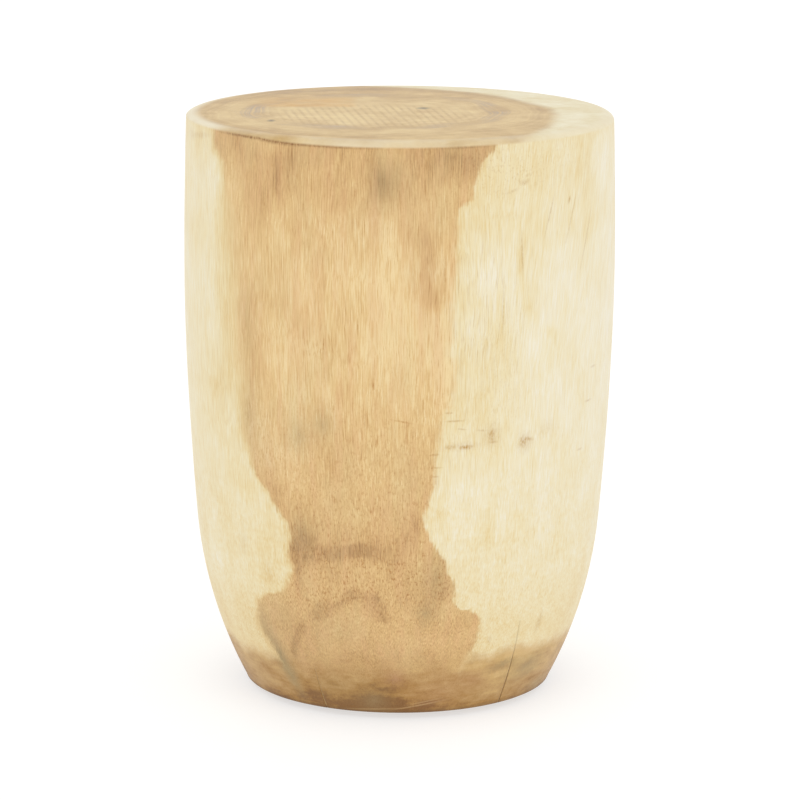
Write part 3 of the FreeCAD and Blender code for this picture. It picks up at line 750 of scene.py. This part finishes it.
def moulded_polyethylene():
    """Dark brown injection-moulded polyethylene: faintly spark-eroded, scuffed by being slid about.

    The eroded texture is about 0.1 mm, and is drawn 0.5 mm wide so that it shows.
    """
    material, put = new_material("moulded_polyethylene")
    own = put("TexCoord", {}, "Object")
    erosion = put("TexNoise", {"Vector": own, "Scale": 1 / (0.5 * MM), "Detail": 2}, "Fac")
    scuff = put("TexNoise", {"Vector": own, "Scale": 1 / (6 * MM), "Detail": 4, "Roughness": 0.7}, "Fac")
    worn = put("MapRange", {"Value": scuff, "From Min": 0.5, "From Max": 0.75})
    colour = put("Mix", {FACTOR: worn, A: linear("#2E241C"), B: linear("#43372C")}, MIXED, data_type="RGBA")
    dull = put("MapRange", {"Value": scuff, "To Min": 0.38, "To Max": 0.62})
    bump = put("Bump", {"Height": erosion, "Strength": 0.25, "Distance": 0.05 * MM})
    shader = put("BsdfPrincipled", {"Base Color": colour, "Roughness": dull, "IOR": 1.51, "Normal": bump})
    put("OutputMaterial", {"Surface": shader})
    return material


def needled_wool_felt():
    """Grey-brown needled wool felt: matted fibres, no gloss, a soft bloom at grazing angles.

    Wool fibres are about 0.03 mm thick, and are drawn 0.4 mm thick so that they show.
    """
    material, put = new_material("needled_wool_felt")
    own = put("TexCoord", {}, "Object")
    drawn = put("TexNoise", {"Vector": own, "Scale": 1 / (3 * MM), "Detail": 2}, "Color")
    bent = put("VectorMath", {0: drawn, 1: (2 * MM, 2 * MM, 2 * MM), 2: own}, operation="MULTIPLY_ADD")
    fibre = put("TexNoise", {"Vector": bent, "Scale": 1 / (0.4 * MM), "Detail": 4, "Roughness": 0.7}, "Fac")
    tone = put("MapRange", {"Value": fibre, "From Min": 0.35, "From Max": 0.65})
    colour = put("Mix", {FACTOR: tone, A: linear("#7A6F60"), B: linear("#A3978A")}, MIXED, data_type="RGBA")
    bump = put("Bump", {"Height": fibre, "Strength": 0.8, "Distance": 0.25 * MM})
    dull = put("MapRange", {"Value": fibre, "To Min": 0.85, "To Max": 1})
    shader = put("BsdfPrincipled", {"Base Color": colour, "Roughness": dull, "IOR": 1.45, "Normal": bump,
                                    "Sheen Weight": 0.35, "Sheen Roughness": 0.6})
    put("OutputMaterial", {"Surface": shader})
    return material


def zinc_plated_steel():
    """Bright zinc-plated steel wire: grey metal with a faint drawn grain along the nail.

    The drawing lines are about 0.05 mm wide, and are drawn 0.2 mm wide so that they show.
    """
    material, put = new_material("zinc_plated_steel")
    own = put("TexCoord", {}, "Object")
    drawn = put("VectorMath", {0: own, 1: (1 / (0.2 * MM), 1 / (0.2 * MM), 1 / (4 * MM))},
                operation="MULTIPLY")
    grain = put("TexNoise", {"Vector": drawn, "Scale": 1, "Detail": 2}, "Fac")
    colour = put("Mix", {FACTOR: grain, A: linear("#B9BBBD"), B: linear("#D3D4D6")}, MIXED,
                 data_type="RGBA")
    dull = put("MapRange", {"Value": grain, "To Min": 0.25, "To Max": 0.45})
    shader = put("BsdfPrincipled", {"Base Color": colour, "Roughness": dull, "Metallic": 1})
    put("OutputMaterial", {"Surface": shader})
    return material


def opal_acrylic():
    """Opal acrylic of a product table, lit from below: white, with a faint shadow round the foot."""
    material, put = new_material("opal_acrylic")
    own = put("TexCoord", {}, "Object")
    opal = put("TexNoise", {"Vector": own, "Scale": 1 / (300 * MM), "Detail": 2}, "Fac")
    colour = put("Mix", {FACTOR: opal, A: linear("#ACACAB"), B: linear("#AEAEAD")}, MIXED, data_type="RGBA")
    shader = put("BsdfPrincipled", {"Base Color": colour, "Roughness": 0.9, "IOR": 1.49,
                                    "Emission Color": linear("#FFFFFF"), "Emission Strength": 0.62})
    put("OutputMaterial", {"Surface": shader})
    return material


def side_radius(height):
    """Radius of the turned side at a height: a long sweep, and a tighter one below the shoulder."""
    axis = top_radius - math.sqrt(side_sweep_radius ** 2 - (stool_height - belly_height) ** 2)
    shoulder_rise = shoulder_height - belly_height
    shoulder_radius = axis + math.sqrt(side_sweep_radius ** 2 - shoulder_rise ** 2)
    outward = Vector((shoulder_radius - axis, shoulder_rise)).normalized()
    shoulder = Vector((shoulder_radius, shoulder_height))
    to_foot = Vector((foot_radius, underside_height)) - shoulder
    flare_radius = -to_foot.length_squared / (2 * to_foot.dot(outward))
    flare_middle = shoulder - flare_radius * outward
    sweep = axis + np.sqrt(side_sweep_radius ** 2 - (height - belly_height) ** 2)
    flare = flare_middle.x + np.sqrt(np.maximum(flare_radius ** 2 - (height - flare_middle.y) ** 2, 0))
    return np.where(height > shoulder_height, sweep, flare)


def trunk_section():
    """Runs of (radius, height) from the middle of the top, over side and foot, to the end of the bore."""
    ease_down = top_edge_drop / (1 - math.sin(top_edge_arris))
    ease_out = top_edge_reach / math.cos(top_edge_arris)
    rim_height = stool_height - top_fall
    edge_middle = float(side_radius(arris_height)) - top_edge_reach
    top = np.linspace(0, edge_middle, top_rings + 1)[1:]
    top_height = stool_height - top_fall * np.clip(1 - (edge_middle - top) / top_fall_reach, 0, 1) ** 2
    sweep = np.linspace(math.pi / 2, top_edge_arris, edge_rows + 1)[1:]
    base_height = underside_height + base_edge_round
    side = np.linspace(arris_height, base_height, side_rows + 1)[1:]
    side = np.concatenate([[arris_height - under_arris], side])
    turn = np.linspace(0, math.pi / 2, base_rows + 1)[1:]
    base_middle = float(side_radius(base_height)) - base_edge_round
    flat = np.linspace(base_middle, relief_bore_radius + relief_bore_edge, base_rings + 1)[1:]
    bore_end = underside_height + relief_bore_depth
    wall = np.linspace(underside_height + relief_bore_edge, bore_end, bore_rows)
    return [
        (top, top_height),
        (edge_middle + ease_out * np.cos(sweep), rim_height - ease_down * (1 - np.sin(sweep))),
        (side_radius(side), side),
        (base_middle + base_edge_round * np.cos(turn), base_height - base_edge_round * np.sin(turn)),
        (flat, np.full_like(flat, underside_height)),
        (np.full_like(wall, relief_bore_radius), wall),
        (np.array([relief_bore_radius / 2]), np.array([bore_end]))]


def trunk_angles():
    """Angles of the mesh's columns in degrees, evenly round the log but close together along the checks."""
    angles = list(np.arange(trunk_columns) * 360 / trunk_columns - 180)
    for check in drying_checks.values():
        angles = [a for a in angles if abs(a - check["angle"]) > check_clear_width]
        angles += [check["angle"] + offset for offset in check_lip]
    return np.array(sorted(angles))


def check_angle(check, height):
    """Angle of a drying check at a height: it leans a little off the straight."""
    return check["angle"] + check["lean"] * (height - check_middle) / MM


def check_taper(check, height):
    """Share of its full width that a drying check has at a height."""
    narrowing = (check["head"] - height) / (check_taper_share * check["head"])
    return np.clip(narrowing, check_least_share, 1)


def turned_mesh(name, radius, angle, height):
    """Closed mesh of revolution from rows of radius, angle in degrees and height, from pole to pole."""
    rows, columns = radius.shape
    turn = np.radians(angle)
    places = np.stack([radius * np.sin(turn), -radius * np.cos(turn), height], -1).reshape(-1, 3)
    poles = [(0, 0, height[0].mean()), (0, 0, height[-1].mean())]
    index = np.arange(rows * columns).reshape(rows, columns)
    after = np.roll(index, -1, 1)
    quads = np.stack([index[:-1], index[1:], after[1:], after[:-1]], -1).reshape(-1, 4)
    first, last = rows * columns, rows * columns + 1
    cap = np.stack([np.full(columns, first), index[0], after[0]], -1)
    end = np.stack([np.full(columns, last), after[-1], index[-1]], -1)
    mesh = bpy.data.meshes.new(name)
    mesh.from_pydata(places.tolist() + poles, [], quads.tolist() + cap.tolist() + end.tolist())
    mesh.shade_smooth()
    return mesh


def new_piece(name, mesh, material, slot, *nodes):
    """Puts a mesh in the scene as a piece of the stool that stands for CAD nodes."""
    mesh.materials.append(material)
    piece = bpy.data.objects.new(name, mesh)
    bpy.context.scene.collection.objects.link(piece)
    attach(piece, "root")
    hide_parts(*nodes)


def hand_sanded(radius, angle, height):
    """Slow hollows that hand sanding left on the turned side, in metres at each point."""
    places = zip(np.sin(np.radians(angle)).ravel(), np.cos(np.radians(angle)).ravel(), height.ravel())
    width = log_high.x / sanding_hollow_width
    hollows = [noise.noise(Vector((a * width, b * width, c / sanding_hollow_length))) for a, b, c in places]
    return np.array(hollows).reshape(radius.shape) * sanding_hollow_depth


def trunk():
    """The trunk: turned section with sanding hollows, saw marks on top and grooves along the checks."""
    runs = trunk_section()
    angles = trunk_angles()
    rows_radius = np.concatenate([r for r, _ in runs])
    rows_height = np.concatenate([h for _, h in runs])
    radius, angle = np.meshgrid(rows_radius, angles, indexing="ij")
    height = np.repeat(rows_height[:, None], len(angles), 1)
    counts = [len(r) for r, _ in runs]
    on_side = np.repeat([0, 1, 1, 1, 0, 0, 0], counts)[:, None]
    on_top = np.repeat([1, 0, 0, 0, 0, 0, 0], counts)[:, None]

    plain = np.ones_like(radius)
    groove = np.zeros_like(radius)
    for check in drying_checks.values():
        off = angle - check["angle"]
        near = np.clip(1 + (check_hold - np.abs(off)) / check_fade, 0, 1)
        below = height < check["head"]
        taper = np.where(below, check_taper(check, height), 1)
        plain *= 1 - near * np.clip((check["head"] + check_plain_above - height) / check_plain_above, 0, 1)
        groove += (np.abs(off) < check_groove_half) * below * taper * check_groove_depth
        angle = angle - np.where(np.abs(off) < check_lip_width, off, 0) * (1 - taper)
        angle = angle + near * (check_angle(check, height) - check["angle"]) * (height < check_lean_top)
    radius = radius + on_side * (plain * hand_sanded(radius, angle, height) - groove)

    lift = np.interp(angles, *zip(*top_edge_lift)) * MM
    reach = np.where(height > arris_height, top_edge_drop, top_edge_lift_reach)
    height = height + lift * np.clip(1 - np.abs(height - arris_height) / reach, 0, 1)

    x = radius * np.sin(np.radians(angle)) / MM
    y = -radius * np.cos(np.radians(angle)) / MM
    off_patch = np.hypot((x - saw_patch_middle[0]) / saw_patch_reach[0],
                         (y - saw_patch_middle[1]) / saw_patch_reach[1])
    stroke = 0.5 + 0.5 * np.sin((x + saw_mark_lean * y) * 2 * math.pi / saw_mark_spacing)
    height = height - on_top * np.clip(saw_patch_gain * (1 - off_patch), 0, 1) * stroke * saw_mark_depth
    mesh = turned_mesh("trunk", radius, angle, height)
    new_piece("trunk", mesh, two_tone_hardwood(), "two_tone_hardwood", "log_body")


def check_filler(side, check, material):
    """Filler in a drying check: a thin tapering blade, scraped just under the surface of the wood."""
    heights = np.linspace(check["head"], underside_height + base_edge_round, filler_rows)
    surface = side_radius(heights)
    middle = np.radians(check_angle(check, heights))
    half = check_width * check_taper(check, heights) / surface / 2
    depth = (check["head"] - heights) / (filler_edge_share * check["head"])
    depth = np.clip(depth, filler_least_share, 1)
    outer = surface - filler_recess * depth
    inner = outer - filler_thickness * depth
    corners = [(outer, middle - half), (outer, middle + half),
               (inner, middle + half), (inner, middle - half)]
    rings = np.stack([np.stack([r * np.sin(a), -r * np.cos(a), heights], -1) for r, a in corners], 1)
    index = np.arange(len(heights) * 4).reshape(-1, 4)
    after = np.roll(index, -1, 1)
    quads = np.stack([index[:-1], index[1:], after[1:], after[:-1]], -1).reshape(-1, 4).tolist()
    quads += [index[0].tolist(), index[-1][::-1].tolist()]
    mesh = bpy.data.meshes.new("check_filler_" + side)
    mesh.from_pydata(rings.reshape(-1, 3).tolist(), [], quads)
    mesh.shade_smooth()
    node = "check_filler_" + side
    new_piece("filler_" + side, mesh, material, "check_filler", node)


def felt_pad(corner, material):
    """Felt disc of a glide: cut edge rolled over, face pressed a little uneven by the weight of the log."""
    node = "glide_felt_" + corner
    low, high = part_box(node)
    middle = (low + high) / 2
    full = (high.x - low.x) / 2
    flat = np.linspace(0, full - felt_edge, felt_rings + 1)[1:]
    roll = np.linspace(math.pi / 2, 0, felt_edge_rows + 1)[1:]
    roll_radius = full - felt_edge + felt_edge * np.cos(roll)
    roll_height = high.z - felt_edge + felt_edge * np.sin(roll)
    upper_radius = np.concatenate([flat, roll_radius])
    upper_height = np.concatenate([np.full_like(flat, high.z), roll_height])
    radius = np.concatenate([upper_radius, upper_radius[::-1]])
    height = np.concatenate([upper_height, low.z + high.z - upper_height[::-1]])
    radius, angle = np.meshgrid(radius, np.arange(felt_columns) * 360 / felt_columns, indexing="ij")
    height = np.repeat(height[:, None], felt_columns, 1)
    turn = np.radians(angle)
    spots = zip((radius * np.sin(turn)).ravel(), (radius * np.cos(turn)).ravel())
    matted = [noise.noise(Vector((a, b, middle.x)) / felt_mat_width) for a, b in spots]
    matted = np.array(matted).reshape(radius.shape)
    radius = radius - felt_mat_depth * np.abs(matted)
    height = height - np.sign(height - middle.z) * felt_mat_depth * np.abs(matted)
    mesh = turned_mesh(node, radius, angle, height)
    mesh.transform(Matrix.Translation((middle.x, middle.y, 0)))
    new_piece("felt_" + corner, mesh, material, "glide_felt", node)


def wire_nail(corner, material):
    """Nail of a glide: blunt cut point, drawn shank with a small neck, flat head with a rolled edge."""
    node = "glide_nail_" + corner
    low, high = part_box(node)
    middle = (low + high) / 2
    full = (high.x - low.x) / 2
    head_top = low.z + nail_head_thickness
    neck = np.linspace(0, math.pi / 2, nail_bend_rows)
    roll = np.linspace(math.pi / 2, 0, nail_bend_rows)
    inward = np.linspace(full - nail_head_edge, nail_tip_radius, nail_bend_rows)
    shank = np.linspace(high.z - nail_point_length, head_top + nail_neck, nail_shank_rows)
    neck_radius = nail_shank_radius + nail_neck * (1 - np.cos(neck))
    roll_radius = full - nail_head_edge + nail_head_edge * np.cos(roll)
    roll_height = nail_head_edge * np.sin(roll)
    radius = np.concatenate([[nail_tip_radius], np.full_like(shank, nail_shank_radius), neck_radius[1:],
                             roll_radius, roll_radius[::-1], inward[1:]])
    height = np.concatenate([[high.z], shank, head_top + nail_neck * (1 - np.sin(neck))[1:],
                             head_top - nail_head_edge + roll_height,
                             low.z + nail_head_edge - roll_height[::-1], np.full_like(inward[1:], low.z)])
    radius, angle = np.meshgrid(radius, np.arange(nail_columns) * 360 / nail_columns, indexing="ij")
    height = np.repeat(height[:, None], nail_columns, 1)
    mesh = turned_mesh(node, radius, angle, height)
    mesh.transform(Matrix.Translation((middle.x, middle.y, 0)))
    new_piece("nail_" + corner, mesh, material, "glide_nail", node)


def studio():
    """White floor and surround, one broad soft key from the front and above, and the photographed view."""
    corners = [(x * floor_reach, y * floor_reach, 0) for x, y in ((-1, -1), (1, -1), (1, 1), (-1, 1))]
    mesh = bpy.data.meshes.new("studio_floor")
    mesh.from_pydata(corners, [], [(0, 1, 2, 3)])
    mesh.materials.append(opal_acrylic())
    floor = bpy.data.objects.new("studio_floor", mesh)
    bpy.context.scene.collection.objects.link(floor)

    world = bpy.data.worlds.new("white_surround")
    bpy.context.scene.world = world
    world.use_nodes = True
    surround = world.node_tree.nodes["Background"]
    surround.inputs["Color"].default_value = linear("#FFFFFF")
    surround.inputs["Strength"].default_value = surround_strength

    key = bpy.data.lights.new("soft_key", "SUN")
    key.energy = key_strength
    key.angle = key_spread
    key_object = bpy.data.objects.new("soft_key", key)
    key_object.rotation_euler = Vector(key_heading).to_track_quat("-Z", "Y").to_euler()
    bpy.context.scene.collection.objects.link(key_object)

    camera = bpy.data.cameras.new("photographed_view")
    camera.sensor_width = sensor_width
    camera.lens = focal_pixels / image_width * sensor_width
    camera_object = bpy.data.objects.new("photographed_view", camera)
    camera_object.location = camera_place
    tilt = Euler((math.pi / 2 - camera_pitch, 0, 0)).to_matrix()
    camera_object.rotation_euler = (tilt @ Euler((0, 0, camera_roll)).to_matrix()).to_euler()
    bpy.context.scene.collection.objects.link(camera_object)
    bpy.context.scene.camera = camera_object
    bpy.context.scene.view_settings.view_transform = "Standard"


studio()
trunk()
filler = brown_wood_filler()
for side, check in drying_checks.items():
    check_filler(side, check, filler)
felt = needled_wool_felt()
plastic = moulded_polyethylene()
steel = zinc_plated_steel()
for corner in glide_corners:
    felt_pad(corner, felt)
    wire_nail(corner, steel)
    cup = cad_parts["glide_cup_" + corner]
    cup.data.materials.clear()
    cup.data.materials.append(plastic)
